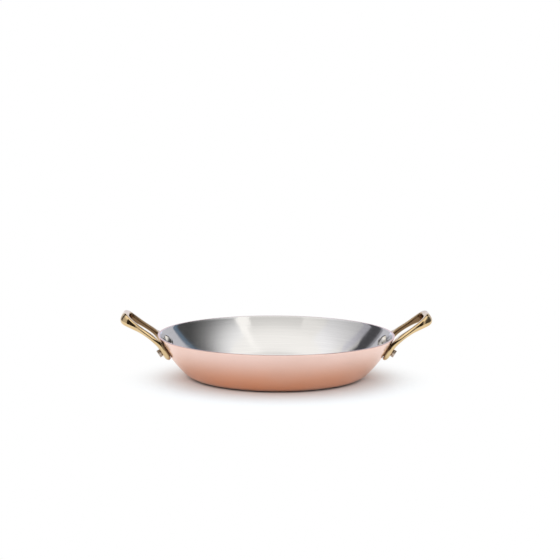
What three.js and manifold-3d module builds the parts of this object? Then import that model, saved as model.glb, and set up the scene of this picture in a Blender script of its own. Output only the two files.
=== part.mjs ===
// A round copper baking dish: a copper bowl bonded to a thin steel lining, and two cast brass loop
// handles, each held to the wall by two rivets. Millimetres, +Z up. The origin is the centre of the
// underside, and the handles lie along X.
import * as THREE from "three";
import { mergeVertices } from "three/addons/utils/BufferGeometryUtils.js";
import Module from "manifold-3d";

const wasm = await Module();
wasm.setup();
const { degToRad, lerp } = THREE.MathUtils;

// Bowl: a flat base, a base fillet, and a wall arc that leaves the fillet tangent and ends at the rim.
// The flare is how far the rim stands out past the flat base.
const RIM_RADIUS = 100;
const RIM_HEIGHT = 35.5;
const FLARE = 34;
const FILLET_RADIUS = 17;
const FILLET_ANGLE = degToRad(44);
const COPPER = 1.7;
const STEEL = 0.25;
const BOND_GAP = 0.02;

// Rivets: a domed head inside the dish, a shank through wall and pad, and a flat tail outside. Each lip
// is how far the head or tail stands out past the shank.
const RIVET_DROP = 9.8;
const SHANK_DIAMETER = 5;
const HEAD_LIP = 3.5;
const HEAD_HEIGHT = 2.6;
const TAIL_LIP = 0.7;
const TAIL_HEIGHT = 2.3;
const TAIL_CHAMFER = 0.5;
const BORE_CLEARANCE = 0.25;

// Handles: a pad round each rivet, an arm that leaves the wall, and a loop that ends in a thick grip
const PAD_SPACING = 38;
const LOOP_SPACING = 35;
const PAD_THICKNESS = 4.4;
const PAD_WIDTH = 16;
const PAD_END = 7.6;
const PAD_TOP = 4.9;
const NECK_WIDTH = 14;
const SHOULDER_WIDTH = 9.2;
const ARM_THICKNESS = 4.7;
const ARM_WIDTH = 6.6;
const ARM_LEAD = 6;
const LOOP_LEAD = 7;
const LOOP_CORNER = 9;
const LOOP_SLOPE = degToRad(31);
const GRIP_OUT = 27.5;
const GRIP_RISE = 14.8;
const GRIP_THICKNESS = 9;
const GRIP_WIDTH = 5.4;
const SEAT_GAP = 0.3;

// Handle stations: how the pad's end closes, places along the arm, and growth from arm to grip
const PAD_END_STEPS = 4;
const PAD_END_CROWDING = 1.5;
const SHOULDER_FRACTION = 0.35;
const ARM_FRACTION = 0.7;
const CORNER_SWELL = [0.35, 0.8, 1];

// Shapes of sections and of the pad's end: 2 is an ellipse, and larger values come nearer to a rectangle
const PAD_END_SQUARENESS = 5;
const PAD_SQUARENESS = 3;
const ARM_SQUARENESS = 2.4;
const GRIP_SQUARENESS = 2;

// Facets
const BOWL_SIDES = 64;
const FILLET_STEPS = 4;
const WALL_STEPS = 5;
const HANDLE_SIDES = 16;
const RINGS_PER_STATION = 2;
const RIVET_SIDES = 20;
const DOME_STEPS = 5;

// The wall arc: tangent to the fillet where that ends, and through the rim's outer edge
const filletCentre = new THREE.Vector2(RIM_RADIUS - FLARE, FILLET_RADIUS);
const filletEnd = new THREE.Vector2(Math.sin(FILLET_ANGLE), -Math.cos(FILLET_ANGLE))
  .multiplyScalar(FILLET_RADIUS)
  .add(filletCentre);
const chord = new THREE.Vector2(RIM_RADIUS, RIM_HEIGHT).sub(filletEnd);
const wallRadius = chord.length() / (2 * Math.sin(chord.angle() - FILLET_ANGLE));
const wallCentre = new THREE.Vector2(-Math.sin(FILLET_ANGLE), Math.cos(FILLET_ANGLE))
  .multiplyScalar(wallRadius)
  .add(filletEnd);

// The angle from level at which a wall surface, set in from the outer one, reaches a height
function wallAngle(height, inset = 0) {
  return Math.acos((wallCentre.y - height) / (wallRadius - inset));
}

// A point of the outer wall, as radius and height, where it stands at an angle from level
function wallPoint(angle) {
  const onFillet = angle < FILLET_ANGLE;
  const centre = onFillet ? filletCentre : wallCentre;
  const radius = onFillet ? FILLET_RADIUS : wallRadius;
  return new THREE.Vector2(Math.sin(angle), -Math.cos(angle)).multiplyScalar(radius).add(centre);
}

// One side of the bowl's section, from the axis to the rim, set in from the outer surface
function bowlCurve(inset) {
  const straightDown = -Math.PI / 2;
  const turn = straightDown + FILLET_ANGLE;
  const fillet = new THREE.EllipseCurve(
    filletCentre.x, filletCentre.y, FILLET_RADIUS - inset, FILLET_RADIUS - inset,
    straightDown, turn,
  );
  const wall = new THREE.EllipseCurve(
    wallCentre.x, wallCentre.y, wallRadius - inset, wallRadius - inset,
    turn, straightDown + wallAngle(RIM_HEIGHT, inset),
  );
  const onAxis = new THREE.Vector2(0, inset);
  return [onAxis, ...fillet.getPoints(FILLET_STEPS), ...wall.getPoints(WALL_STEPS).slice(1)];
}

// A layer of the bowl between two insets, spun about +Z
function bowlLayer(outerInset, innerInset) {
  const section = [...bowlCurve(outerInset), ...bowlCurve(innerInset).reverse()];
  return new THREE.LatheGeometry(section, BOWL_SIDES).rotateX(Math.PI / 2);
}

// A closed geometry as a solid that can be joined and cut, without the flat triangles on a lathe's axis
function toSolid(geometry) {
  const bare = geometry.toNonIndexed();
  bare.deleteAttribute("normal");
  bare.deleteAttribute("uv");
  const merged = mergeVertices(bare);
  const corners = merged.index.array;
  const kept = [];
  for (let i = 0; i < corners.length; i += 3) {
    const [a, b, c] = corners.subarray(i, i + 3);
    if (a !== b && b !== c && c !== a) kept.push(a, b, c);
  }
  return new wasm.Manifold(new wasm.Mesh({
    numProp: 3,
    vertProperties: new Float32Array(merged.attributes.position.array),
    triVerts: new Uint32Array(kept),
  }));
}

function toGeometry(solid) {
  const mesh = solid.getMesh();
  const geometry = new THREE.BufferGeometry();
  geometry.setAttribute("position", new THREE.BufferAttribute(mesh.vertProperties, 3));
  geometry.setIndex(new THREE.BufferAttribute(mesh.triVerts, 1));
  geometry.computeVertexNormals();
  return geometry;
}

// The rivet's place on the wall, and its length from head to tail through every layer. The head's flat
// underside bridges the hollow of the wall, so it stands off by the depth of that hollow.
const rivetAngle = wallAngle(RIM_HEIGHT - RIVET_DROP);
const rivetPoint = wallPoint(rivetAngle);
const rivetTurn = Math.asin(PAD_SPACING / 2 / rivetPoint.x);
const shankRadius = SHANK_DIAMETER / 2;
const headRadius = shankRadius + HEAD_LIP;
const tailRadius = shankRadius + TAIL_LIP;
const bowlThickness = COPPER + BOND_GAP + STEEL;
const headSeat = headRadius ** 2 / (2 * rivetPoint.x) + SEAT_GAP;
const rivetGrip = headSeat + bowlThickness + SEAT_GAP + PAD_THICKNESS + SEAT_GAP;

// The direction out of the wall at an angle from level, in the upright plane turned from X about Z
function wallNormal(angle, turn) {
  return new THREE.Vector3(
    Math.sin(angle) * Math.cos(turn), Math.sin(angle) * Math.sin(turn), -Math.cos(angle),
  );
}

// The place of the rivet on one arm of the +X handle: local +Z points into the dish, and the local
// origin is under the head
function rivetPlace(side) {
  const turn = side * rivetTurn;
  const outward = wallNormal(rivetAngle, turn);
  const onWall = new THREE.Vector3(
    rivetPoint.x * Math.cos(turn), rivetPoint.x * Math.sin(turn), rivetPoint.y,
  );
  const position = onWall.addScaledVector(outward, -(bowlThickness + headSeat));
  const upright = new THREE.Vector3(0, 0, 1);
  const quaternion = new THREE.Quaternion().setFromUnitVectors(upright, outward.negate());
  return { position, quaternion };
}

function rivetGeometry() {
  const domeRadius = (headRadius ** 2 + HEAD_HEIGHT ** 2) / (2 * HEAD_HEIGHT);
  const domeAngle = Math.asin(headRadius / domeRadius);
  const dome = new THREE.EllipseCurve(
    0, HEAD_HEIGHT - domeRadius, domeRadius, domeRadius, Math.PI / 2 - domeAngle, Math.PI / 2,
  );
  const section = [
    new THREE.Vector2(0, -rivetGrip - TAIL_HEIGHT),
    new THREE.Vector2(tailRadius - TAIL_CHAMFER, -rivetGrip - TAIL_HEIGHT),
    new THREE.Vector2(tailRadius, -rivetGrip - TAIL_HEIGHT + TAIL_CHAMFER),
    new THREE.Vector2(tailRadius, -rivetGrip),
    new THREE.Vector2(shankRadius, -rivetGrip),
    new THREE.Vector2(shankRadius, 0),
    ...dome.getPoints(DOME_STEPS).slice(0, -1),
    new THREE.Vector2(0, HEAD_HEIGHT),
  ];
  return new THREE.LatheGeometry(section, RIVET_SIDES).rotateX(Math.PI / 2);
}

// The bore for one rivet, long enough to pass right through wall and pad
function rivetBore(side) {
  const { position, quaternion } = rivetPlace(side);
  const radius = shankRadius + BORE_CLEARANCE;
  const bore = new THREE.CylinderGeometry(radius, radius, 2 * rivetGrip, RIVET_SIDES);
  bore.rotateX(Math.PI / 2).translate(0, 0, -rivetGrip / 2).applyQuaternion(quaternion);
  return bore.translate(...position);
}

// One coordinate of a circle, pushed out towards a rounded square
function squared(value, squareness) {
  return Math.sign(value) * Math.abs(value) ** (2 / squareness);
}

// A station of the handle: its centre, the direction out of its outer face, and its section as half
// thickness, half width and squareness
function station(centre, outward, thickness, width, squareness) {
  const section = new THREE.Vector3(thickness / 2, width / 2, squareness);
  return { centre, outward, section };
}

// A station of the pad, at a distance up the wall from the rivet, with its back against the wall
function padStation(along, thickness, width) {
  const angle = rivetAngle + along / wallRadius;
  const foot = wallPoint(angle);
  const turn = Math.asin(PAD_SPACING / 2 / foot.x);
  const outward = wallNormal(angle, turn);
  const centre = new THREE.Vector3(foot.x * Math.cos(turn), foot.x * Math.sin(turn), foot.y);
  centre.addScaledVector(outward, SEAT_GAP + thickness / 2);
  return station(centre, outward, thickness, width, PAD_SQUARENESS);
}

// The pad: a blunt round end below the rivet, and a neck above it
function padStations() {
  const stations = [];
  for (let step = 0; step <= PAD_END_STEPS; step += 1) {
    const angle = (step / PAD_END_STEPS) ** PAD_END_CROWDING * (Math.PI / 2);
    const rise = squared(Math.sin(angle), PAD_END_SQUARENESS);
    const along = -PAD_END * squared(Math.cos(angle), PAD_END_SQUARENESS);
    stations.push(padStation(along, PAD_THICKNESS * rise, PAD_WIDTH * rise));
  }
  stations.push(padStation(PAD_TOP, PAD_THICKNESS, NECK_WIDTH));
  return stations;
}

// The stations of half a handle, from the end of its +Y pad to the middle of its grip
function halfHandle() {
  const pad = padStations();
  const neck = pad.at(-1).centre;
  const neckAngle = rivetAngle + PAD_TOP / wallRadius;
  const alongWall = new THREE.Vector3(Math.cos(neckAngle), 0, Math.sin(neckAngle));
  const alongLoop = new THREE.Vector3(Math.cos(LOOP_SLOPE), 0, Math.sin(LOOP_SLOPE));
  const underLoop = new THREE.Vector3(Math.sin(LOOP_SLOPE), 0, -Math.cos(LOOP_SLOPE));
  const grip = new THREE.Vector3(RIM_RADIUS + GRIP_OUT, 0, RIM_HEIGHT + GRIP_RISE);
  const across = new THREE.Vector3(0, 1, 0);
  const cornerCentre = grip.clone()
    .addScaledVector(alongLoop, -LOOP_CORNER)
    .addScaledVector(across, LOOP_SPACING / 2 - LOOP_CORNER);
  const loopStart = cornerCentre.clone().addScaledVector(across, LOOP_CORNER);
  const arm = new THREE.CubicBezierCurve3(
    neck,
    neck.clone().addScaledVector(alongWall, ARM_LEAD),
    loopStart.clone().addScaledVector(alongLoop, -LOOP_LEAD),
    loopStart,
  );
  const armStation = (fraction, width) => {
    const along = arm.getTangent(fraction);
    const outward = new THREE.Vector3(along.z, 0, -along.x).normalize();
    return station(arm.getPoint(fraction), outward, ARM_THICKNESS, width, ARM_SQUARENESS);
  };
  const armStations = [
    armStation(SHOULDER_FRACTION, SHOULDER_WIDTH),
    armStation(ARM_FRACTION, ARM_WIDTH),
  ];
  const cornerStations = CORNER_SWELL.map((swell, index) => {
    const angle = (index / (CORNER_SWELL.length - 1)) * (Math.PI / 2);
    const centre = cornerCentre.clone()
      .addScaledVector(alongLoop, LOOP_CORNER * Math.sin(angle))
      .addScaledVector(across, LOOP_CORNER * Math.cos(angle));
    const thickness = lerp(ARM_THICKNESS, GRIP_THICKNESS, swell);
    const width = lerp(ARM_WIDTH, GRIP_WIDTH, swell);
    return station(centre, underLoop, thickness, width, GRIP_SQUARENESS);
  });
  const middle = station(grip, underLoop, GRIP_THICKNESS, GRIP_WIDTH, GRIP_SQUARENESS);
  return [...pad, ...armStations, ...cornerStations, middle];
}

function mirrored({ centre, outward, section }) {
  const flip = new THREE.Vector3(1, -1, 1);
  return { centre: centre.clone().multiply(flip), outward: outward.clone().multiply(flip), section };
}

// A +X handle: the rings of a sphere, from pole to pole, are carried along the stations as sections
function handleGeometry() {
  const half = halfHandle();
  const stations = [...half, ...half.slice(0, -1).reverse().map(mirrored)];
  const through = (key) => new THREE.CatmullRomCurve3(stations.map((each) => each[key]));
  const centres = through("centre");
  const outwards = through("outward");
  const sections = through("section");
  const rings = (stations.length - 1) * RINGS_PER_STATION;
  const geometry = new THREE.SphereGeometry(1, HANDLE_SIDES, rings);
  const { position, uv } = geometry.attributes;
  for (let i = 0; i < position.count; i += 1) {
    const along = 1 - uv.getY(i);
    const angle = 2 * Math.PI * uv.getX(i);
    const section = sections.getPoint(along);
    const tangent = centres.getTangent(along);
    const outward = outwards.getPoint(along).projectOnPlane(tangent).normalize();
    const across = outward.clone().cross(tangent);
    const point = centres.getPoint(along)
      .addScaledVector(outward, section.x * squared(Math.cos(angle), section.z))
      .addScaledVector(across, section.y * squared(Math.sin(angle), section.z));
    position.setXYZ(i, ...point);
  }
  return geometry;
}

// The piece with every one of the given bores cut out of it
function cut(geometry, bores) {
  const solid = bores.reduce((rest, bore) => rest.subtract(toSolid(bore)), toSolid(geometry));
  return toGeometry(solid);
}

const copper = new THREE.MeshStandardMaterial({ color: 0xc98a6b, roughness: 0.28, metalness: 1 });
const steel = new THREE.MeshStandardMaterial({ color: 0xc9c8c6, roughness: 0.32, metalness: 1 });
const brass = new THREE.MeshStandardMaterial({ color: 0xd9b978, roughness: 0.16, metalness: 1 });
const rivetSteel = new THREE.MeshStandardMaterial({ color: 0xb9b3aa, roughness: 0.24, metalness: 1 });

function addMesh(group, name, geometry, material) {
  const mesh = new THREE.Mesh(geometry, material.clone());
  mesh.name = name;
  group.add(mesh);
  return mesh;
}

const ARM_SIDES = [1, -1];
const HANDLE_TURNS = { right: 0, left: Math.PI };
const handleBores = ARM_SIDES.map(rivetBore);
const dishBores = Object.values(HANDLE_TURNS).flatMap(
  (turn) => handleBores.map((bore) => bore.clone().rotateZ(turn)),
);

const dish = new THREE.Group();
addMesh(dish, "copper_shell", cut(bowlLayer(0, COPPER), dishBores), copper);
addMesh(dish, "steel_lining", cut(bowlLayer(COPPER + BOND_GAP, bowlThickness), dishBores), steel);

for (const [side, turn] of Object.entries(HANDLE_TURNS)) {
  const group = new THREE.Group();
  group.rotation.z = turn;
  dish.add(group);
  addMesh(group, `${side}_handle`, cut(handleGeometry(), handleBores), brass);
  for (const armSide of ARM_SIDES) {
    const place = armSide * Math.cos(turn) > 0 ? "rear" : "front";
    const rivet = addMesh(group, `${side}_${place}_rivet`, rivetGeometry(), rivetSteel);
    const { position, quaternion } = rivetPlace(armSide);
    rivet.position.copy(position);
    rivet.quaternion.copy(quaternion);
  }
}

export default dish;
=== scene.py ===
# %% [markdown]
# # A round copper baking dish
#
# The dish is a shallow bowl of copper sheet with a thin steel lining. Two cast brass loop handles
# are riveted to its wall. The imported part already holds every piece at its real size, so this
# lesson gives each piece a finer mesh in the same place, a metal finish, and a small photo studio.

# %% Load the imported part
import math

import bmesh
import bpy
from mathutils import Matrix, Vector
from mathutils.geometry import interpolate_bezier


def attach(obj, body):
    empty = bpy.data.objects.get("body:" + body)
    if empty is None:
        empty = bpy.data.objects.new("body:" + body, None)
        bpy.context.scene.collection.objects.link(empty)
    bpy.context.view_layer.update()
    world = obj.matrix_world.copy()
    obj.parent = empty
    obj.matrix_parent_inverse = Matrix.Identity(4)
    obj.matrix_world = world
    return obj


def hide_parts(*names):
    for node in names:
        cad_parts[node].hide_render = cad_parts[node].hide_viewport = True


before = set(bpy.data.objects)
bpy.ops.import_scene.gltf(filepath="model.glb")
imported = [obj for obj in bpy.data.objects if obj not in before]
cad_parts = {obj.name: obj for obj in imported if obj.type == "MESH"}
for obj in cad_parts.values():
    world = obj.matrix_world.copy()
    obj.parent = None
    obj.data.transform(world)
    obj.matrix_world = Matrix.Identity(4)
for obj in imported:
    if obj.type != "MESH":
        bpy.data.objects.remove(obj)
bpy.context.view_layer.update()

print("packed nodes:", ", ".join(sorted(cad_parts)))

# %% [markdown]
# ## The camera
#
# The camera comes first, because every later look is judged through it. It stands low, about ten
# degrees above level, and far off with a long lens, which keeps the ellipses of the rim and the
# base nearly alike. It aims a little above the dish, which leaves the dish low in the frame. A
# camera could also be shifted to do that, but a tilted one needs no shift in other views.

# %% Place the camera
UP = Vector((0, 0, 1))
TARGET = Vector((0, 0, 0.0205))
CAMERA_DISTANCE = 1.6
CAMERA_RISE = math.radians(10.23)
CAMERA_SIDE = math.radians(1.7)
CAMERA_ROLL = math.radians(0.36)
AIM_UP = 0.0607
AIM_RIGHT = 0.00285
LENS_MM = 121.7
SENSOR_MM = 36

toward_camera = Vector((
    -math.sin(CAMERA_SIDE) * math.cos(CAMERA_RISE),
    -math.cos(CAMERA_SIDE) * math.cos(CAMERA_RISE),
    math.sin(CAMERA_RISE),
))
image_right = UP.cross(toward_camera).normalized()
image_up = toward_camera.cross(image_right)
camera_place = TARGET + toward_camera * CAMERA_DISTANCE
aim_point = TARGET + image_up * AIM_UP + image_right * AIM_RIGHT
camera_data = bpy.data.cameras.new("long_lens")
camera_data.lens = LENS_MM
camera_data.sensor_width = SENSOR_MM
camera = bpy.data.objects.new("camera", camera_data)
look = (aim_point - camera_place).to_track_quat("-Z", "Y").to_matrix().to_4x4()
camera.matrix_world = Matrix.Translation(camera_place) @ look @ Matrix.Rotation(CAMERA_ROLL, 4, "Z")
bpy.context.scene.collection.objects.link(camera)
bpy.context.scene.camera = camera
print("camera at", [round(value, 3) for value in camera_place])

# %% [markdown]
# ## Shared finishes
#
# All four metals were turned, brushed or polished, and most were handled afterwards. An effect that
# more than one metal shows is built once, as a node group, and each metal uses it at its own scale.
# Pictures of worn metal could do the same, but they need unwrapping and turn soft when seen close.
# First come the few nodes that the groups, the metals and the studio all need.

# %% Helpers for node trees
# A Mix node has sockets for each kind of data. These are the places of those for colours.
MIX_FIRST, MIX_SECOND, MIX_RESULT = 6, 7, 2


def set_or_link(tree, socket, value):
    """Sets a socket to a value, or links it if the value is another socket."""
    if isinstance(value, bpy.types.NodeSocket):
        tree.links.new(value, socket)
    else:
        socket.default_value = value


def math_node(tree, operation, *values):
    """The result of a sum on numbers or sockets."""
    node = tree.nodes.new("ShaderNodeMath")
    node.operation = operation
    for socket, value in zip(node.inputs, values):
        set_or_link(tree, socket, value)
    return node.outputs[0]


def soft_step(tree, value, none, full):
    """A soft step from 0 to 1 as a value goes from one limit to the other, up or down."""
    node = tree.nodes.new("ShaderNodeMapRange")
    node.interpolation_type = "SMOOTHSTEP"
    node.inputs["From Min"].default_value = none
    node.inputs["From Max"].default_value = full
    tree.links.new(value, node.inputs["Value"])
    return node.outputs[0]


def blend_colours(tree, factor, first, second):
    """A colour between two others, each a colour or a socket."""
    node = tree.nodes.new("ShaderNodeMix")
    node.data_type = "RGBA"
    tree.links.new(factor, node.inputs["Factor"])
    for index, colour in ((MIX_FIRST, first), (MIX_SECOND, second)):
        plain = isinstance(colour, tuple)
        set_or_link(tree, node.inputs[index], (*colour, 1) if plain else colour)
    return node.outputs[MIX_RESULT]


def from_axis(tree, place):
    """The three parts of a place, and its distance from the dish's axis."""
    split = tree.nodes.new("ShaderNodeSeparateXYZ")
    tree.links.new(place, split.inputs[0])
    x, y, z = split.outputs
    squares = (math_node(tree, "MULTIPLY", part, part) for part in (x, y))
    return x, y, z, math_node(tree, "SQRT", math_node(tree, "ADD", *squares))


def new_group(name, values, result):
    """A group that makes one result of a place and some values, with its two end nodes."""
    group = bpy.data.node_groups.new(name, "ShaderNodeTree")
    group.interface.new_socket("Place", in_out="INPUT", socket_type="NodeSocketVector")
    for value in values:
        group.interface.new_socket(value, in_out="INPUT", socket_type="NodeSocketFloat")
    group.interface.new_socket(result, in_out="OUTPUT", socket_type="NodeSocketFloat")
    return group, group.nodes.new("NodeGroupInput"), group.nodes.new("NodeGroupOutput")


print("node helpers ready")

# %% [markdown]
# The first group draws fine lines that run round the dish's axis, as a brush leaves them on spinning
# work. Rings from a wave node would be too even. The trick is to stretch a noise instead: slow round
# the axis, and quick from the middle to the rim.

# %% Build the group of brushed lines
NEAREST_TO_AXIS = 0.001
LINE_DETAIL = 3
LINE_HARSHNESS = 0.65

spun_lines, lines_in, lines_out = new_group("spun_lines", ("Lines", "Turn"), "Grain")
x, y, z, across = from_axis(spun_lines, lines_in.outputs["Place"])
divisor = math_node(spun_lines, "MAXIMUM", across, NEAREST_TO_AXIS)
stretched = spun_lines.nodes.new("ShaderNodeCombineXYZ")
for socket, part in zip(stretched.inputs, (x, y)):
    turned = math_node(spun_lines, "DIVIDE", part, divisor)
    slow = math_node(spun_lines, "MULTIPLY", turned, lines_in.outputs["Turn"])
    spun_lines.links.new(slow, socket)
outward = math_node(spun_lines, "ADD", across, z)
quick = math_node(spun_lines, "MULTIPLY", outward, lines_in.outputs["Lines"])
spun_lines.links.new(quick, stretched.inputs["Z"])
noise = spun_lines.nodes.new("ShaderNodeTexNoise")
noise.inputs["Scale"].default_value = 1
noise.inputs["Detail"].default_value = LINE_DETAIL
noise.inputs["Roughness"].default_value = LINE_HARSHNESS
spun_lines.links.new(stretched.outputs[0], noise.inputs["Vector"])
spun_lines.links.new(noise.outputs[0], lines_out.inputs["Grain"])
print("group spun_lines:", len(spun_lines.nodes), "nodes")

# %% [markdown]
# The second group is what hands and cloths leave behind: soft, cloudy patches where the polish is
# a little duller. A noise of low contrast does it. Its edges are kept wide, so that no patch reads
# as a stain.

# %% Build the group of handling marks
CLOUD_DETAIL = 4
MARKS_FROM, MARKS_FULL = 0.35, 0.75

handling, handling_in, handling_out = new_group("handling_marks", ("Patches",), "Dullness")
clouds = handling.nodes.new("ShaderNodeTexNoise")
clouds.inputs["Detail"].default_value = CLOUD_DETAIL
handling.links.new(handling_in.outputs["Place"], clouds.inputs["Vector"])
handling.links.new(handling_in.outputs["Patches"], clouds.inputs["Scale"])
marks = soft_step(handling, clouds.outputs[0], MARKS_FROM, MARKS_FULL)
handling.links.new(marks, handling_out.inputs["Dullness"])
print("group handling_marks:", len(handling.nodes), "nodes")

# %% [markdown]
# Every metal starts the same way: a Principled shader that is all metal, the piece's own Object
# coordinates, and a wire from those to each group. The constant values sit on the shader's own
# sockets, and only what changes over the surface comes through wires.

# %% Helpers for the metals
class Metal:
    """A metal in the making: its material, its node tree, its shader and its coordinates."""

    def __init__(self, name):
        self.material = bpy.data.materials.new(name)
        self.material.use_nodes = True
        self.tree = self.material.node_tree
        self.shader = self.tree.nodes["Principled BSDF"]
        self.shader.inputs["Metallic"].default_value = 1
        self.place = self.tree.nodes.new("ShaderNodeTexCoord").outputs["Object"]

    def effect(self, group, **values):
        """A shared effect, placed with this metal's own values."""
        node = self.tree.nodes.new("ShaderNodeGroup")
        node.node_tree = group
        self.tree.links.new(self.place, node.inputs["Place"])
        for socket, value in values.items():
            node.inputs[socket].default_value = value
        return node.outputs[0]

    def between(self, factor, low, high):
        """A value that runs from low to high as the factor runs from 0 to 1."""
        node = self.tree.nodes.new("ShaderNodeMapRange")
        node.inputs["To Min"].default_value = low
        node.inputs["To Max"].default_value = high
        self.tree.links.new(factor, node.inputs["Value"])
        return node.outputs[0]

    def step(self, value, none, full):
        """A mask that rises softly as a value goes from one limit to the other."""
        return soft_step(self.tree, value, none, full)

    def blend(self, factor, first, second):
        """A colour between two others, each a colour or a socket."""
        return blend_colours(self.tree, factor, first, second)

    def wire(self, socket, value):
        """Links a changing value to the shader."""
        self.tree.links.new(value, self.shader.inputs[socket])

    def bump(self, height, strength, depth):
        """Raises the surface by a height map, without changing the mesh."""
        node = self.tree.nodes.new("ShaderNodeBump")
        node.inputs["Strength"].default_value = strength
        node.inputs["Distance"].default_value = depth
        self.tree.links.new(height, node.inputs["Height"])
        self.wire("Normal", node.outputs[0])


print("metals ready")

# %% [markdown]
# ## Copper
#
# The outside is satin-polished copper. A ramp up the dish blends a redder, darker copper low on the
# wall into a pinker, lighter one near the rim: that is painted shade, for the shadowed paper that
# the lower wall mirrors. Faint spun lines vary the gloss, and handling marks deepen the colour in
# places. Two places keep a darker tone: a thin ring at the edge of the base, which is painted
# contact shade, and the cut edge of the sheet along the rim. All of this follows from height and
# distance, so the copper needs no image map.

# %% Make the copper
WALL_FOOT, WALL_HEAD = 0.004, 0.0345
# Painted contact shade: a thin dark ring at the edge of the base, up to these heights and between
# these distances.
BASE_SHADE_TOP, BASE_SHADE_FULL = 0.0010, 0.0003
BASE_SHADE_INSIDE, BASE_SHADE_OUTSIDE = 0.060, 0.066
CUT_EDGE_FROM, CUT_EDGE_FULL = 0.0351, 0.0354
# The redder copper low on the wall is painted shade, and the pinker one above it is the lit copper.
COPPER_SHADED_RED = (0.88, 0.44, 0.262)
COPPER_LIT_PINK = (0.925, 0.665, 0.585)
COPPER_HANDLED = (0.80, 0.52, 0.42)
# The colour of the painted contact shade at the base's edge.
COPPER_BASE_SHADE = (0.13, 0.075, 0.055)
COPPER_CUT = (0.78, 0.52, 0.42)
COPPER_ROUGHNESS = (0.16, 0.28)
COPPER_HANDLING = 0.25
COPPER_LINES = 0.12
LINE_DEPTH = 0.00002

copper = Metal("satin_copper")
_, _, copper_height, copper_away = from_axis(copper.tree, copper.place)
copper_grain = copper.effect(spun_lines, Lines=1400, Turn=2.5)
copper_marks = copper.effect(handling, Patches=38)
# Painted shade: the copper turns redder and darker towards the bottom of the wall.
copper_tone = copper.blend(copper.step(copper_height, WALL_FOOT, WALL_HEAD), COPPER_SHADED_RED, COPPER_LIT_PINK)
handled = copper.between(copper_marks, 0, COPPER_HANDLING)
copper_tone = copper.blend(handled, copper_tone, COPPER_HANDLED)
# Painted contact shade: a thin dark ring where the base's edge meets the paper.
near_paper = copper.step(copper_height, BASE_SHADE_TOP, BASE_SHADE_FULL)
near_edge = copper.step(copper_away, BASE_SHADE_INSIDE, BASE_SHADE_OUTSIDE)
base_shade = math_node(copper.tree, "MULTIPLY", near_paper, near_edge)
copper_tone = copper.blend(base_shade, copper_tone, COPPER_BASE_SHADE)
cut_edge = copper.step(copper_height, CUT_EDGE_FROM, CUT_EDGE_FULL)
copper.wire("Base Color", copper.blend(cut_edge, copper_tone, COPPER_CUT))
copper.wire("Roughness", copper.between(copper_grain, *COPPER_ROUGHNESS))
copper.bump(copper_grain, COPPER_LINES, LINE_DEPTH)
print("copper:", len(copper.tree.nodes), "nodes")

# %% [markdown]
# ## Brushed steel
#
# The lining is brushed while it spins, so its grooves run round the axis. Such steel smears a
# reflection at right angles to its grooves: lights become bright bands that run from the middle of
# the dish to the rim. A bump alone would need grooves finer than a pixel. The shader's Anisotropic
# value does it better, once a Tangent node tells it which way is round. The lines only vary the
# colour and the gloss a little.

# %% Make the lining's steel
STEEL_GROOVE = (0.66, 0.66, 0.67)
STEEL_RIDGE = (0.80, 0.80, 0.80)
STEEL_ROUGHNESS = (0.08, 0.14)
STEEL_LINES = 0.25
QUARTER_TURN = 0.25

lining_steel = Metal("brushed_steel")
steel_lines = lining_steel.effect(spun_lines, Lines=900, Turn=1.6)
lining_steel.wire("Base Color", lining_steel.blend(steel_lines, STEEL_GROOVE, STEEL_RIDGE))
lining_steel.wire("Roughness", lining_steel.between(steel_lines, *STEEL_ROUGHNESS))
round_axis = lining_steel.tree.nodes.new("ShaderNodeTangent")
round_axis.direction_type = "RADIAL"
round_axis.axis = "Z"
lining_steel.wire("Tangent", round_axis.outputs[0])
lining_steel.shader.inputs["Anisotropic"].default_value = 1
lining_steel.shader.inputs["Anisotropic Rotation"].default_value = QUARTER_TURN
lining_steel.bump(steel_lines, STEEL_LINES, LINE_DEPTH)
print("steel:", len(lining_steel.tree.nodes), "nodes")

# %% [markdown]
# ## Polished brass
#
# The handles are cast in sand and polished by hand, so their surface is bright but never quite
# true. A slow, shallow bump bends the reflections a little, and handling marks bring in a deeper,
# browner gold. Inside the loop and along the seat of the pads a dark brown is painted on: painted
# shade where the pads meet the wall, and a painted dark reflection on the loop's inner faces. A mask
# on coordinates could not follow the bent arms. So the handle's own mesh says where this painted
# shade goes, in an attribute that is stored with its vertices.

# %% Make the brass
BRASS_BRIGHT = (0.76, 0.57, 0.32)
BRASS_DEEP = (0.64, 0.465, 0.25)
# The dark brown is painted shade and a painted dark reflection.
BRASS_SHADE = (0.15, 0.085, 0.043)
BRASS_ROUGHNESS = (0.08, 0.20)
CASTING_SCALE = 160
CASTING_STRENGTH = 0.06
CASTING_DEPTH = 0.0006
SHADE_ATTRIBUTE = "painted_shade"

brass = Metal("polished_brass")
brass_marks = brass.effect(handling, Patches=90)
brass_shade_mask = brass.tree.nodes.new("ShaderNodeAttribute")
brass_shade_mask.attribute_name = SHADE_ATTRIBUTE
brass_tone = brass.blend(brass_marks, BRASS_BRIGHT, BRASS_DEEP)
# Painted shade and reflection: the mesh's attribute blends in dark brown along the pads' seat and
# inside the loop.
brass.wire("Base Color", brass.blend(brass_shade_mask.outputs["Fac"], brass_tone, BRASS_SHADE))
brass.wire("Roughness", brass.between(brass_marks, *BRASS_ROUGHNESS))
casting = brass.tree.nodes.new("ShaderNodeTexNoise")
casting.inputs["Scale"].default_value = CASTING_SCALE
brass.tree.links.new(brass.place, casting.inputs["Vector"])
brass.bump(casting.outputs[0], CASTING_STRENGTH, CASTING_DEPTH)
print("brass:", len(brass.tree.nodes), "nodes")

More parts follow.
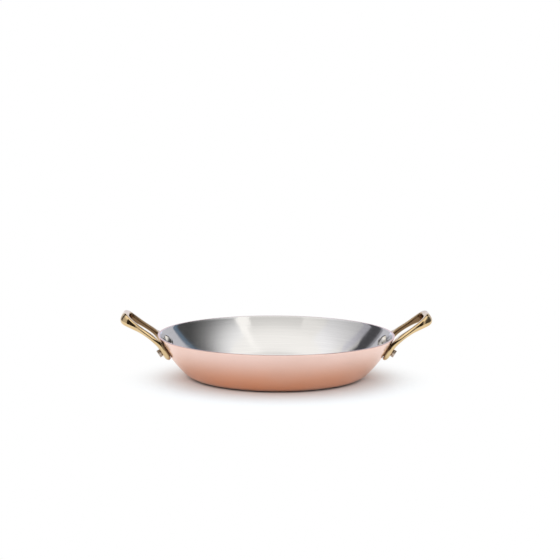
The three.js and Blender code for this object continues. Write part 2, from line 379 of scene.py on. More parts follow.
# %% [markdown]
# ## Rivet steel
#
# The rivets are set with a hammer and a snap tool. Their steel is greyer than the lining, polished
# by use, and dimpled by the blows. A small cell-like noise gives the dimples. The tails outside the
# dish are duller and browner than the heads, which are scoured with every wash. One material does
# for both ends, because the distance from the dish's axis tells them apart.

# %% Make the rivets' steel
HEADS_WITHIN, TAILS_BEYOND = 0.095, 0.097
HEAD_BRIGHT = (0.74, 0.72, 0.69)
HEAD_WORN = (0.54, 0.51, 0.47)
TAIL_BROWN = (0.66, 0.57, 0.49)
HEAD_ROUGHNESS = (0.04, 0.10)
TAIL_DULLNESS = 0.36
DIMPLE_SCALE = 420
DIMPLE_STRENGTH = 0.12
DIMPLE_DEPTH = 0.0004

rivet_steel = Metal("hammered_rivet_steel")
rivet_marks = rivet_steel.effect(handling, Patches=260)
rivet_away = from_axis(rivet_steel.tree, rivet_steel.place)[-1]
tails = rivet_steel.step(rivet_away, HEADS_WITHIN, TAILS_BEYOND)
head_tone = rivet_steel.blend(rivet_marks, HEAD_BRIGHT, HEAD_WORN)
rivet_steel.wire("Base Color", rivet_steel.blend(tails, head_tone, TAIL_BROWN))
gloss = rivet_steel.between(rivet_marks, *HEAD_ROUGHNESS)
duller = rivet_steel.between(tails, 0, TAIL_DULLNESS)
rivet_steel.wire("Roughness", math_node(rivet_steel.tree, "ADD", gloss, duller))
dimples = rivet_steel.tree.nodes.new("ShaderNodeTexVoronoi")
dimples.feature = "SMOOTH_F1"
dimples.inputs["Scale"].default_value = DIMPLE_SCALE
rivet_steel.tree.links.new(rivet_steel.place, dimples.inputs["Vector"])
rivet_steel.bump(dimples.outputs["Distance"], DIMPLE_STRENGTH, DIMPLE_DEPTH)
print("rivet steel:", len(rivet_steel.tree.nodes), "nodes")

# %% [markdown]
# ## From mesh to piece
#
# Each finished mesh goes through the same last steps: doubles are merged, normals are turned
# outwards, faces are smoothed except across sharp edges, and the piece takes the place of its
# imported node. Two more helpers draw as a lathe hand does: one swings a section's corner round a
# centre, and the other turns the whole section about the axis.

# %% Helpers that draw and finish a piece
ORIGIN = Vector((0, 0, 0))
SECTION_AXIS = Vector((0, -1, 0))
WELD = 0.000001
CREASE = math.radians(35)
ROUNDING_STEPS = 3
MM = 1000


def draw_arc(bm, start, centre, angle, steps):
    """Swings a section's vertex round a centre, and returns the arc's last vertex."""
    arc = bmesh.ops.spin(bm, geom=[start], cent=centre, axis=SECTION_AXIS, angle=angle, steps=steps)
    return next(part for part in arc["geom_last"] if isinstance(part, bmesh.types.BMVert))


def full_turn(bm, steps):
    """Turns a section once about the upright axis."""
    bmesh.ops.spin(
        bm, geom=bm.verts[:] + bm.edges[:], cent=ORIGIN, axis=UP, angle=2 * math.pi, steps=steps,
        use_merge=True)


def close_skin(bm, weld=WELD):
    """Merges doubles, and then turns the faces outwards."""
    bmesh.ops.remove_doubles(bm, verts=bm.verts[:], dist=weld)
    bmesh.ops.recalc_face_normals(bm, faces=bm.faces[:])


def finish_piece(bm, name, node, metal):
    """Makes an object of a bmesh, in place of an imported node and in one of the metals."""
    close_skin(bm)
    for face in bm.faces:
        face.smooth = True
    mesh = bpy.data.meshes.new(name)
    bm.to_mesh(mesh)
    bm.free()
    mesh.set_sharp_from_angle(angle=CREASE)
    mesh.materials.append(metal.material)
    piece = bpy.data.objects.new(name, mesh)
    bpy.context.scene.collection.objects.link(piece)
    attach(piece, "root")
    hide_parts(node)
    size = [round(side * MM, 1) for side in piece.dimensions]
    print(name, "faces:", len(mesh.polygons), "size mm:", size)


print("piece helpers ready")

# %% [markdown]
# ## The bowl
#
# On the real dish a flat disc is pressed or spun over a former. Its section is a flat base, a
# small fillet and a long wall arc that meets the fillet without a kink. The base, the fillet and the
# rim are measured. The arc's centre and radius could be guessed, but they follow from the rest.

# %% Sizes of the bowl
RIM_RADIUS = 0.100
RIM_HEIGHT = 0.0355
FLARE = 0.034
FILLET_RADIUS = 0.017
FILLET_ANGLE = math.radians(44)
COPPER_SHEET = 0.0017
STEEL_SHEET = 0.00025
BOND_GAP = 0.00002
BOWL_DEPTH = COPPER_SHEET + BOND_GAP + STEEL_SHEET


def outward_at(angle):
    """The outward direction of the section where its slope from level is an angle."""
    return Vector((math.sin(angle), 0, -math.cos(angle)))


fillet_centre = Vector((RIM_RADIUS - FLARE, 0, FILLET_RADIUS))
fillet_end = fillet_centre + FILLET_RADIUS * outward_at(FILLET_ANGLE)
chord = Vector((RIM_RADIUS, 0, RIM_HEIGHT)) - fillet_end
chord_angle = math.atan2(chord.z, chord.x)
wall_radius = chord.length / (2 * math.sin(chord_angle - FILLET_ANGLE))
wall_centre = fillet_end - wall_radius * outward_at(FILLET_ANGLE)


def wall_angle(height, inset=0):
    """The slope from level at which a layer of the wall reaches a height."""
    return math.acos((wall_centre.z - height) / (wall_radius - inset))


print("wall arc radius mm:", round(wall_radius * MM, 2))

# %% [markdown]
# The section is drawn for each face of a layer: one corner on the axis, pulled out to the edge of
# the base, then swung round the two arc centres. An edge joins both at the rim, and a full turn
# makes the layer. A single sheet with a Solidify modifier would be quicker, but its rim would stand
# square to the wall, and the real rim is trimmed level.

# %% Draw and spin the two layers
BOWL_STEPS = 240
FILLET_STEPS = 10
WALL_STEPS = 20
FLOOR_CUTS = 5
RIM_ROUNDING = 0.00035
LINING_ROUNDING = 0.00008


def half_section(bm, inset):
    """Draws half the section at a depth under the outer face. Returns its floor and its rim end."""
    on_axis = bm.verts.new((0, 0, inset))
    pulled = bmesh.ops.extrude_vert_indiv(bm, verts=[on_axis])
    floor_end = pulled["verts"][0]
    floor_end.co.x = fillet_centre.x
    wall_foot = draw_arc(bm, floor_end, fillet_centre, FILLET_ANGLE, FILLET_STEPS)
    climb = wall_angle(RIM_HEIGHT, inset) - FILLET_ANGLE
    return pulled["edges"], draw_arc(bm, wall_foot, wall_centre, climb, WALL_STEPS)


def bowl_layer(outer_inset, inner_inset, rounding):
    """A closed layer of the bowl between two depths, with a rounded rim."""
    bm = bmesh.new()
    outer_floor, outer_rim = half_section(bm, outer_inset)
    inner_floor, inner_rim = half_section(bm, inner_inset)
    bm.edges.new((outer_rim, inner_rim))
    bmesh.ops.subdivide_edges(bm, edges=outer_floor + inner_floor, cuts=FLOOR_CUTS)
    full_turn(bm, BOWL_STEPS)
    close_skin(bm)
    rim_edges = [
        edge for edge in bm.edges
        if min(vert.co.z for vert in edge.verts) > RIM_HEIGHT - WELD
        and edge.calc_face_angle(0) > CREASE]
    bmesh.ops.bevel(
        bm, geom=rim_edges, offset=rounding, affect="EDGES", segments=ROUNDING_STEPS, profile=0.5,
        material=-1)
    return bm


finish_piece(
    bowl_layer(0, COPPER_SHEET, RIM_ROUNDING),
    "copper_bowl", "copper_shell", copper)
finish_piece(
    bowl_layer(COPPER_SHEET + BOND_GAP, BOWL_DEPTH, LINING_ROUNDING),
    "steel_inside", "steel_lining", lining_steel)

# %% [markdown]
# ## The rivets
#
# Each rivet has a domed head inside the dish, a shank through the wall and the handle's pad, and a
# flat tail outside. Its place comes first. The rivet's axis stands square to the slope of the wall,
# and its length follows from what it has to hold together.

# %% Sizes and places of the rivets
RIVET_DROP = 0.0098
SHANK_RADIUS = 0.0025
HEAD_OVERLAP = 0.0035
HEAD_RADIUS = SHANK_RADIUS + HEAD_OVERLAP
HEAD_HEIGHT = 0.0026
HEAD_SKIRT = 0.0005
TAIL_OVERLAP = 0.0007
TAIL_RADIUS = SHANK_RADIUS + TAIL_OVERLAP
TAIL_HEIGHT = 0.0023
PAD_SPACING = 0.038
PAD_THICKNESS = 0.00465
SEAT_GAP = 0.00005

rivet_angle = wall_angle(RIM_HEIGHT - RIVET_DROP)


def wall_point(angle, turn):
    """A point of the outer wall and its outward direction, at a slope and an angle about the axis."""
    on_fillet = angle < FILLET_ANGLE
    centre, radius = (fillet_centre, FILLET_RADIUS) if on_fillet else (wall_centre, wall_radius)
    outward = outward_at(angle)
    about = Matrix.Rotation(turn, 3, "Z")
    return about @ (centre + radius * outward), about @ outward


def pad_turn(angle):
    """The angle about the axis at which a pad's middle crosses the wall."""
    return math.asin(PAD_SPACING / 2 / wall_point(angle, 0)[0].x)


head_stand_off = HEAD_RADIUS ** 2 / (2 * wall_point(rivet_angle, 0)[0].x) + SEAT_GAP
rivet_grip = head_stand_off + BOWL_DEPTH + SEAT_GAP + PAD_THICKNESS + SEAT_GAP


def rivet_place(side, handle_turn):
    """The matrix that carries a rivet from the origin to one arm of a handle."""
    foot, outward = wall_point(rivet_angle, side * pad_turn(rivet_angle))
    under_head = foot - outward * (BOWL_DEPTH + head_stand_off)
    stand = (-outward).to_track_quat("Z", "Y").to_matrix().to_4x4()
    return Matrix.Rotation(handle_turn, 4, "Z") @ Matrix.Translation(under_head) @ stand


print("rivet grip mm:", round(rivet_grip * MM, 2))

# %% [markdown]
# A rivet could be put together from a dome and two cylinders, but then it would have faces inside.
# One section, turned about the rivet's own axis, is the whole piece. Its corners are rounded, and it
# is then carried to its place on the wall.

# %% Spin the rivets
RIVET_STEPS = 48
DOME_STEPS = 10
RIVET_WELD = 0.00002
RIVET_ROUNDING = 0.00035
HANDLE_TURNS = {"right": 0, "left": math.pi}


def rivet_mesh():
    """A rivet with its axis on Z, its head up and the underside of the head at the origin."""
    bm = bmesh.new()
    tail = -rivet_grip
    corners = [
        (0, tail - TAIL_HEIGHT),
        (TAIL_RADIUS, tail - TAIL_HEIGHT),
        (TAIL_RADIUS, tail + SEAT_GAP),
        (SHANK_RADIUS, tail + SEAT_GAP),
        (SHANK_RADIUS, -HEAD_SKIRT),
        (HEAD_RADIUS, -HEAD_SKIRT),
        (HEAD_RADIUS, 0),
    ]
    section = [bm.verts.new((radius, 0, level)) for radius, level in corners]
    for first, second in zip(section, section[1:]):
        bm.edges.new((first, second))
    dome_radius = (HEAD_RADIUS ** 2 + HEAD_HEIGHT ** 2) / (2 * HEAD_HEIGHT)
    dome_centre = Vector((0, 0, HEAD_HEIGHT - dome_radius))
    draw_arc(bm, section[-1], dome_centre, math.asin(HEAD_RADIUS / dome_radius), DOME_STEPS)
    full_turn(bm, RIVET_STEPS)
    close_skin(bm, RIVET_WELD)
    corner_edges = [
        edge for edge in bm.edges if edge.is_manifold and edge.calc_face_angle(0) > CREASE]
    bmesh.ops.bevel(
        bm, geom=corner_edges, offset=RIVET_ROUNDING, affect="EDGES", segments=ROUNDING_STEPS,
        profile=0.5, material=-1, clamp_overlap=True)
    return bm


for hand, handle_turn in HANDLE_TURNS.items():
    for side in (1, -1):
        end = "rear" if side * math.cos(handle_turn) > 0 else "front"
        bm = rivet_mesh()
        bmesh.ops.transform(bm, matrix=rivet_place(side, handle_turn), verts=bm.verts[:])
        finish_piece(
            bm, f"{hand}_{end}_steel_rivet", f"{hand}_{end}_rivet", rivet_steel)

# %% [markdown]
# ## The handles
#
# A handle is one brass casting: a round-ended pad at each rivet, an arm that leaves the wall, and a
# loop whose far side swells into a grip. A curve with a bevel could make the loop, but its section
# could not change from pad to grip. So the handle is described by stations along its middle line.
# Each one says where the middle is, which way is out, how thick and wide the section is, how square
# its corners are, and how far its widest part sits back. On the pads that part lies near the wall,
# which gives them a domed face and a flat seat.

# %% Sizes of the handles
LOOP_SPACING = 0.035
PAD_WIDTH = 0.016
PAD_END = 0.0076
PAD_TOP = 0.0049
NECK_WIDTH = 0.0140
SHOULDER_WIDTH = 0.0092
ARM_THICKNESS = 0.0047
ARM_WIDTH = 0.0066
ARM_LEAD = 0.006
LOOP_LEAD = 0.007
LOOP_CORNER = 0.0090
LOOP_SLOPE = math.radians(31)
GRIP_OUT = 0.0275
GRIP_RISE = 0.0148
GRIP_THICKNESS = 0.009
GRIP_WIDTH = 0.0054
PAD_SEAT = 0.6
NECK_SEAT = 0.5
print("handle sizes mm: pad", PAD_WIDTH * MM, "arm", ARM_WIDTH * MM, "grip", GRIP_THICKNESS * MM)

# %% [markdown]
# The pad's stations climb the wall and follow its curve. They crowd together at its round end,
# where the outline turns quickest.

# %% Lay out a pad
PAD_END_STEPS = 4
PAD_END_CROWDING = 1.5
PAD_END_SQUARENESS = 5
PAD_TIP = 0.04
PAD_CORNERS = Vector((3.0, 3.0, 6))


def squared(value, squareness):
    """One coordinate of a circle, pushed out towards a rounded square."""
    return math.copysign(abs(value) ** (2 / squareness), value)


def half_size(thickness, width, seat=0):
    """Half a section's thickness and width in millimetres, and how far its widest part sits back."""
    return Vector((thickness / 2 * MM, width / 2 * MM, seat))


def pad_stations():
    """The stations of a pad, from its round end below the rivet to its neck above it."""
    rows = []
    for step in range(PAD_END_STEPS + 1):
        swing = (step / PAD_END_STEPS) ** PAD_END_CROWDING * math.pi / 2
        rise = max(squared(math.sin(swing), PAD_END_SQUARENESS), PAD_TIP)
        along = -PAD_END * squared(math.cos(swing), PAD_END_SQUARENESS)
        rows.append((along, half_size(PAD_THICKNESS * rise, PAD_WIDTH * rise, PAD_SEAT)))
    rows.append((PAD_TOP, half_size(PAD_THICKNESS, NECK_WIDTH, NECK_SEAT)))
    stations = []
    for along, size in rows:
        angle = rivet_angle + along / wall_radius
        foot, outward = wall_point(angle, pad_turn(angle))
        middle = foot + outward * (SEAT_GAP + size.x / MM)
        stations.append((middle, outward, size, PAD_CORNERS))
    return stations


pad = pad_stations()
print("pad stations:", len(pad))

# %% [markdown]
# The arm leaves the pad along the wall and bends into the plane of the loop. The loop turns a
# corner there, and its section swells from arm to grip on the way. The other half is a mirror image,
# so only one half is laid out.

# %% Lay out the loop
ARM_POINTS = 21
SHOULDER_POINT, ARM_POINT = 7, 14
CORNER_SWELL = ((0, 0.35), (math.pi / 4, 0.8), (math.pi / 2, 1))
ARM_CORNERS = Vector((2.8, 1.85, 0.2))
GRIP_CORNERS = Vector((3.5, 2.0, 0.8))


def loop_stations(neck):
    """The stations of half a loop, from the neck of its pad to the middle of its grip."""
    neck_angle = rivet_angle + PAD_TOP / wall_radius
    along_wall = Vector((math.cos(neck_angle), 0, math.sin(neck_angle)))
    along_loop = Vector((math.cos(LOOP_SLOPE), 0, math.sin(LOOP_SLOPE)))
    under_loop = outward_at(LOOP_SLOPE)
    across = Vector((0, 1, 0))
    grip = Vector((RIM_RADIUS + GRIP_OUT, 0, RIM_HEIGHT + GRIP_RISE))
    corner = grip - along_loop * LOOP_CORNER + across * (LOOP_SPACING / 2 - LOOP_CORNER)
    loop_start = corner + across * LOOP_CORNER
    arm = interpolate_bezier(
        neck, neck + along_wall * ARM_LEAD, loop_start - along_loop * LOOP_LEAD, loop_start,
        ARM_POINTS)
    stations = []
    for point, width in ((SHOULDER_POINT, SHOULDER_WIDTH), (ARM_POINT, ARM_WIDTH)):
        along = arm[point + 1] - arm[point - 1]
        outward = Vector((along.z, 0, -along.x)).normalized()
        stations.append((arm[point], outward, half_size(ARM_THICKNESS, width), ARM_CORNERS))
    for swing, swell in CORNER_SWELL:
        middle = corner + LOOP_CORNER * (along_loop * math.sin(swing) + across * math.cos(swing))
        thickness = ARM_THICKNESS + (GRIP_THICKNESS - ARM_THICKNESS) * swell
        width = ARM_WIDTH + (GRIP_WIDTH - ARM_WIDTH) * swell
        stations.append((middle, under_loop, half_size(thickness, width), GRIP_CORNERS))
    stations.append((grip, under_loop, half_size(GRIP_THICKNESS, GRIP_WIDTH), GRIP_CORNERS))
    return stations


def mirrored(station):
    """The same station on the handle's other half."""
    middle, outward, size, corners = station
    flip = Matrix.Diagonal((1, -1, 1))
    return flip @ middle, flip @ outward, size, corners


half = pad + loop_stations(pad[-1][0])
handle_stations = half + [mirrored(station) for station in reversed(half[:-1])]
print("handle stations:", len(handle_stations))

# %% [markdown]
# A smooth path needs a direction at each station. It is taken from the neighbours on both sides,
# weighted by how near they are, so that close stations don't make the path swing out. Each stretch
# between two stations is then an ordinary Bezier curve. The same path serves for places, directions
# and sizes, because all of them are vectors.

# %% Draw a smooth path
NEARLY_NONE = 0.0001
RING_STEPS = 5


def pace(start, end):
    """The weight of a stretch, which is the root of its length."""
    return (end - start).length ** 0.5


def smooth_path(points):
    """Points on a smooth curve through all the given ones."""
    run = [2 * points[0] - points[1], *points, 2 * points[-1] - points[-2]]
    path = [points[0]]
    for before, start, end, after in zip(run, run[1:], run[2:], run[3:]):
        lead, step, tail = pace(before, start), pace(start, end), pace(end, after)
        step = step if step > NEARLY_NONE else 1
        lead = lead if lead > NEARLY_NONE else step
        tail = tail if tail > NEARLY_NONE else step
        leave = (start - before) / lead - (end - before) / (lead + step) + (end - start) / step
        arrive = (end - start) / step - (after - start) / (step + tail) + (after - end) / tail
        curve = interpolate_bezier(
            start, start + leave * step / 3, end - arrive * step / 3, end, RING_STEPS + 1)
        path += curve[1:]
    return path


middles, outwards, sizes, corners = (smooth_path(list(part)) for part in zip(*handle_stations))
print("handle rings:", len(middles))

# %% [markdown]
# A ring of vertices goes round the path at each of its points, and neighbouring rings are bridged.
# Each vertex also notes how much painted shade it takes, a dark brown for shade and dark reflections.
# On the pads that depends on how near the wall it lies, and on the loop on how far it faces inwards.

# %% Skin the handles
RING_SIDES = 48
# Limits of the painted shade on the loop's inner faces and along the pads' seat.
INSIDE_SHADE = 0.92
INSIDE_SHADE_FROM, INSIDE_SHADE_FULL = 0.5, 0.9
SEAT_SHADE_FROM, SEAT_SHADE_FULL = 0.1, 0.5


def share(value, none, full):
    """How far a value has come from one limit to the other, between 0 and 1."""
    return min(max((value - none) / (full - none), 0), 1)


def handle_ring(bm, painted_shade, middle, outward, along, size, corner):
    """A closed ring of edges round the handle's middle line, with its painted shade noted."""
    inward = outward.cross(along)
    on_pad = share(size.z, 0, PAD_SEAT)
    ring = bmesh.ops.create_circle(bm, segments=RING_SIDES, radius=1)["verts"]
    for vert in ring:
        squareness = corner.x if vert.co.y > 0 else corner.y
        reach = 1 + size.z
        if vert.co.x < 0:
            squareness += corner.z
            reach = 1 - size.z
        rise = reach * squared(vert.co.x, squareness) - size.z
        # Painted shade: dark where the loop faces inwards and where the pad lies against the wall.
        inside = INSIDE_SHADE * share(vert.co.y, INSIDE_SHADE_FROM, INSIDE_SHADE_FULL)
        seat = share(-rise, SEAT_SHADE_FROM, SEAT_SHADE_FULL)
        vert[painted_shade] = on_pad * seat + (1 - on_pad) * inside
        out = size.x / MM * rise
        over = size.y / MM * squared(vert.co.y, squareness)
        wall_sag = over ** 2 / (2 * RIM_RADIUS)
        vert.co = middle + outward * (out - wall_sag) + inward * over
    return list({edge for vert in ring for edge in vert.link_edges})


def handle_mesh():
    """The whole handle on the +X side, as one closed surface."""
    bm = bmesh.new()
    painted_shade = bm.verts.layers.float.new(SHADE_ATTRIBUTE)
    rings = []
    for place, (middle, outward, size, corner) in enumerate(zip(middles, outwards, sizes, corners)):
        ahead = middles[min(place + 1, len(middles) - 1)]
        behind = middles[max(place - 1, 0)]
        along = (ahead - behind).normalized()
        square_out = (outward - along * outward.dot(along)).normalized()
        rings.append(handle_ring(bm, painted_shade, middle, square_out, along, size, corner))
    for first, second in zip(rings, rings[1:]):
        bmesh.ops.bridge_loops(bm, edges=first + second)
    for end in (rings[0], rings[-1]):
        bmesh.ops.contextual_create(bm, geom=end)
    return bm


for hand, handle_turn in HANDLE_TURNS.items():
    bm = handle_mesh()
    about = Matrix.Rotation(handle_turn, 3, "Z")
    bmesh.ops.rotate(bm, verts=bm.verts[:], cent=ORIGIN, matrix=about)
    finish_piece(bm, f"{hand}_brass_handle", f"{hand}_handle", brass)

# %% [markdown]
# ## The studio
#
# Polished metal shows what stands round it, so the studio is half of its look. The dish stands on
# white paper in an even white room, which lights the paper and casts the soft shadow. The metal sees
# something else: a light tent whose cloth glows more strongly towards the top, and cards in front of
# it, as photographers use them, because metal that has nothing dark to mirror looks like paper. A
# strip lamp could draw the bright streak on the brushed steel. Here a few narrow bright cards do it,
# because their edges can be placed.

# %% A helper for what is seen
def seen_rays(tree):
    """The kinds of ray, and a mask of those that see a surface, straight or in metal or glass."""
    rays = tree.nodes.new("ShaderNodeLightPath").outputs
    in_metal_or_glass = math_node(
        tree, "MAXIMUM", rays["Is Glossy Ray"], rays["Is Transmission Ray"])
    return rays, math_node(tree, "MAXIMUM", rays["Is Camera Ray"], in_metal_or_glass)


print("ray helper ready")

# %% [markdown]
# The paper is matt and nearly white. In a wide studio a small dish's shadow is lost a hand's breadth
# away, so a soft step by distance turns the paper pure white there. The step's middle lies a little
# in front of the dish, because the shadow falls that way. Under the rounded edge of the base the
# paper darkens in a thin ring, where hardly any light gets in. Only the camera sees that ring, so
# the copper above doesn't mirror it. A very faint glow keeps the darkest paper from turning black.

# %% Lay the paper
FLOOR_SIZE = 6.0
FLOOR_PARTS = 4
PAPER_WHITE = (0.84, 0.885, 0.915)
PAPER_GLOW = 0.01
SHADOW_MIDDLE = Vector((0.002, -0.033, 0))
SHADOW_REACH, WHITE_FROM = 0.076, 0.144
CONTACT_SHADE = (0.16, 0.18, 0.19)
CONTACT_FROM, CONTACT_CLEAR = 0.0675, 0.077


def distance_from(tree, place, point):
    """The distance of a place from a point."""
    node = tree.nodes.new("ShaderNodeVectorMath")
    node.operation = "DISTANCE"
    tree.links.new(place, node.inputs[0])
    node.inputs[1].default_value = point
    return node.outputs["Value"]


def white_paper():
    """The paper's material, with its thin contact shade and its fade to white."""
    material = bpy.data.materials.new("white_paper")
    material.use_nodes = True
    tree = material.node_tree
    tree.nodes.clear()
    place = tree.nodes.new("ShaderNodeTexCoord").outputs["Object"]
    rays, seen = seen_rays(tree)
    clear = soft_step(tree, distance_from(tree, place, ORIGIN), CONTACT_FROM, CONTACT_CLEAR)
    unseen = math_node(tree, "SUBTRACT", 1, rays["Is Camera Ray"])
    plain = math_node(tree, "MAXIMUM", clear, unseen)
    matt = tree.nodes.new("ShaderNodeBsdfDiffuse")
    tree.links.new(blend_colours(tree, plain, CONTACT_SHADE, PAPER_WHITE), matt.inputs["Color"])
    glow = tree.nodes.new("ShaderNodeEmission")
    tree.links.new(math_node(tree, "MULTIPLY", seen, PAPER_GLOW), glow.inputs["Strength"])
    near = tree.nodes.new("ShaderNodeAddShader")
    tree.links.new(matt.outputs[0], near.inputs[0])
    tree.links.new(glow.outputs[0], near.inputs[1])
    fade = soft_step(tree, distance_from(tree, place, SHADOW_MIDDLE), SHADOW_REACH, WHITE_FROM)
    far = tree.nodes.new("ShaderNodeMixShader")
    tree.links.new(math_node(tree, "MULTIPLY", fade, seen), far.inputs[0])
    tree.links.new(near.outputs[0], far.inputs[1])
    tree.links.new(tree.nodes.new("ShaderNodeEmission").outputs[0], far.inputs[2])
    output = tree.nodes.new("ShaderNodeOutputMaterial")
    tree.links.new(far.outputs[0], output.inputs["Surface"])
    return material


bm = bmesh.new()
bmesh.ops.create_grid(bm, x_segments=FLOOR_PARTS, y_segments=FLOOR_PARTS, size=FLOOR_SIZE)
floor_mesh = bpy.data.meshes.new("floor")
bm.to_mesh(floor_mesh)
bm.free()
floor_mesh.materials.append(white_paper())
floor = bpy.data.objects.new("floor", floor_mesh)
bpy.context.scene.collection.objects.link(floor)
print("floor laid, width m:", 2 * FLOOR_SIZE)

# %% [markdown]
# The tent and the cards are all pieces of a sphere about the dish, so one helper makes them: an arc
# that is turned about the dish's axis. Azimuth is counted from the right handle towards the back,
# and elevation from the floor. All of them are hidden from the camera and from the paper, so they
# show in the metal and take no light from the floor.

# %% Helpers for the tent and the cards
SHEET_RISE_STEPS = 12
SHEET_TURN_STEPS = 36
ALL_ROUND = (0, 360)


def curved_sheet(name, radius, azimuths, elevations):
    """A piece of a sphere round the dish, between two azimuths and two elevations in degrees."""
    low, high = (math.radians(angle) for angle in elevations)
    first, last = (math.radians(angle) for angle in azimuths)
    bm = bmesh.new()
    foot = bm.verts.new((radius * math.cos(low), 0, radius * math.sin(low)))
    draw_arc(bm, foot, ORIGIN, high - low, SHEET_RISE_STEPS)
    about = Matrix.Rotation(first, 3, "Z")
    bmesh.ops.rotate(bm, verts=bm.verts[:], cent=ORIGIN, matrix=about)
    bmesh.ops.spin(
        bm, geom=bm.verts[:] + bm.edges[:], cent=ORIGIN, axis=UP, angle=last - first,
        steps=SHEET_TURN_STEPS, use_merge=azimuths == ALL_ROUND)
    mesh = bpy.data.meshes.new(name)
    bm.to_mesh(mesh)
    bm.free()
    return mesh


def glowing_cloth(name, colour, steps, lean):
    """A material whose brightness follows pairs of elevation in degrees and strength.

    A lean in degrees tips the elevations, so that they are counted towards the front.
    """
    material = bpy.data.materials.new(name)
    material.use_nodes = True
    tree = material.node_tree
    tree.nodes.clear()
    direction = tree.nodes.new("ShaderNodeVectorMath")
    direction.operation = "NORMALIZE"
    tree.links.new(tree.nodes.new("ShaderNodeTexCoord").outputs["Object"], direction.inputs[0])
    height = tree.nodes.new("ShaderNodeVectorMath")
    height.operation = "DOT_PRODUCT"
    height.inputs[1].default_value = Matrix.Rotation(math.radians(lean), 3, "X") @ UP
    tree.links.new(direction.outputs[0], height.inputs[0])
    strength = steps[0][1]
    for (low, dim), (high, bright) in zip(steps, steps[1:]):
        rise = tree.nodes.new("ShaderNodeMapRange")
        rise.inputs["From Min"].default_value = math.sin(math.radians(low))
        rise.inputs["From Max"].default_value = math.sin(math.radians(high))
        rise.inputs["To Max"].default_value = bright - dim
        tree.links.new(height.outputs["Value"], rise.inputs["Value"])
        strength = math_node(tree, "ADD", rise.outputs[0], strength)
    light = tree.nodes.new("ShaderNodeEmission")
    light.inputs["Color"].default_value = (*colour, 1)
    tree.links.new(strength, light.inputs["Strength"])
    output = tree.nodes.new("ShaderNodeOutputMaterial")
    tree.links.new(light.outputs[0], output.inputs["Surface"])
    return material


def even(strength):
    """The steps of a cloth that glows alike from floor to zenith."""
    return ((0, strength), (90, strength))


def hang_sheet(name, radius, azimuths, elevations, colour, steps, lean=0):
    """Hangs a glowing sheet where only the metal sees it."""
    mesh = curved_sheet(name, radius, azimuths, elevations)
    mesh.materials.append(glowing_cloth(f"{name}_cloth", colour, steps, lean))
    sheet = bpy.data.objects.new(name, mesh)
    bpy.context.scene.collection.objects.link(sheet)
    sheet.visible_camera = False
    sheet.visible_diffuse = False
    sheet.visible_shadow = False


print("sheet helpers ready")

# %% [markdown]
# Each card has one job. The front cards darken the necks and the corners of the handles. The right
# and left cards darken the two ends of the lining, and the narrow ones beside them soften or tint
# the edges of those dark bands. The strips draw the bright streaks. The cards at the back show in
# the tops of the grips and in the outer sides of the arms.

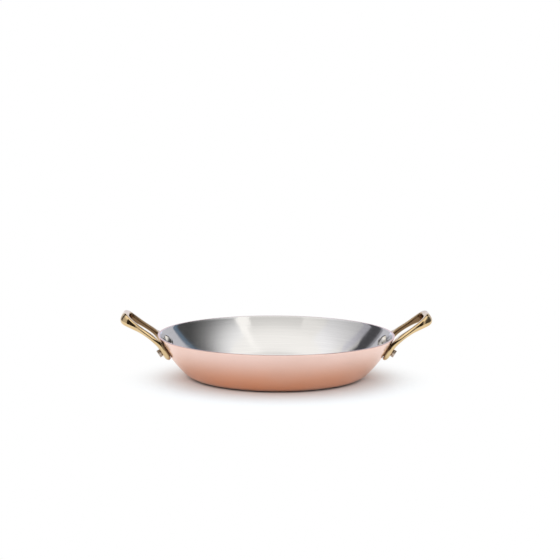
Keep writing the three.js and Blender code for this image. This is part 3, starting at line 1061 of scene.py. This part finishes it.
# %% Hang the tent and stand the cards
WARM_WHITE = (1.0, 0.974, 0.93)
COOL_WHITE = (1.0, 0.985, 0.985)
GREY = (1.0, 0.99, 0.98)
VIOLET_GREY = (1.0, 0.98, 1.06)
LILAC = (0.96, 0.95, 1.0)
SKY_BLUE = (0.80, 0.83, 1.0)
BLUE_GREY = (0.52, 0.74, 1.0)
SOOT = (1.0, 0.80, 0.63)
TENT_RADIUS = 2.6
CARD_RADIUS = 2.2
STRIP_RADIUS = 2.0
FRONT_CARD_RADIUS = 0.18
TENT_LEAN = -6
RIGHT_CARD_LEAN = 7
SHEETS = [
    ("light_tent", TENT_RADIUS, ALL_ROUND, (0, 90), WARM_WHITE,
     ((30, 0.57), (42, 0.83), (47, 0.92), (53, 1.12), (60, 1.20), (72, 1.22), (90, 0.98)), TENT_LEAN),
    ("front_left_card", FRONT_CARD_RADIUS, (-165, -131.5), (12, 40), SOOT, even(0.03)),
    ("front_right_card", FRONT_CARD_RADIUS, (-56, -23), (14, 40), SOOT, even(0.03)),
    ("right_card", CARD_RADIUS, (-39, 37), (0, 60), GREY,
     ((26, 0.08), (32, 0.15), (38, 0.26), (44, 0.48), (52, 0.87), (58, 1.08), (62, 1.15)),
     RIGHT_CARD_LEAN),
    ("low_strip_card", STRIP_RADIUS, (-57, -39.5), (38, 53), WARM_WHITE, even(1.30)),
    ("high_strip_card", STRIP_RADIUS, (-48, -37), (53, 66), WARM_WHITE, even(1.30)),
    ("top_strip_card", STRIP_RADIUS, (-40, -28), (66, 77), WARM_WHITE, even(1.34)),
    ("side_strip_card", STRIP_RADIUS, (-157, -126), (38, 54), WARM_WHITE,
     ((40, 0.84), (47, 1.03), (54, 1.05))),
    ("blue_edge_card", CARD_RADIUS, (37, 44), (0, 50), BLUE_GREY, even(0.27)),
    ("right_rear_card", CARD_RADIUS, (44, 73), (0, 28), LILAC, even(0.66)),
    ("back_card", CARD_RADIUS, (73, 107), (0, 28), SKY_BLUE, even(1.06)),
    ("dark_back_card", CARD_RADIUS, (50, 130), (28, 47), SOOT, even(0.04)),
    ("left_rear_card", CARD_RADIUS, (107, 126), (0, 28), LILAC, even(0.66)),
    ("left_soft_card", CARD_RADIUS, (126, 130), (0, 32), VIOLET_GREY, even(0.30)),
    ("left_card", CARD_RADIUS, (130, 147.5), (0, 32), VIOLET_GREY, even(0.08)),
    ("left_upper_card", CARD_RADIUS, (126, 143), (32, 41), VIOLET_GREY, even(0.08)),
    ("left_shade_card", CARD_RADIUS, (147.5, 158), (0, 45), VIOLET_GREY, ((30, 0.46), (45, 0.78))),
    ("left_side_card", CARD_RADIUS, (158, 203), (0, 60), COOL_WHITE,
     ((30, 0.60), (42, 0.86), (47, 0.95), (53, 1.12), (60, 1.19))),
]
for sheet_row in SHEETS:
    hang_sheet(*sheet_row)
print("sheets:", len(SHEETS))

# %% [markdown]
# The room itself is plain white where it is seen, so that the paper has no edge against it. The
# light that it sends to the paper is a little stronger, which makes up for the paper's own grey.

# %% Whiten the room
ROOM_LIGHT = 1.28
WHITE = (1, 1, 1, 1)

world = bpy.data.worlds.new("white_room")
bpy.context.scene.world = world
world.use_nodes = True
tree = world.node_tree
room = tree.nodes["Background"].inputs
room["Color"].default_value = WHITE
_, seen = seen_rays(tree)
less_where_seen = math_node(tree, "MULTIPLY", seen, 1 - ROOM_LIGHT)
tree.links.new(math_node(tree, "ADD", less_where_seen, ROOM_LIGHT), room["Strength"])
bpy.context.scene.view_settings.view_transform = "Standard"
print("room ready")
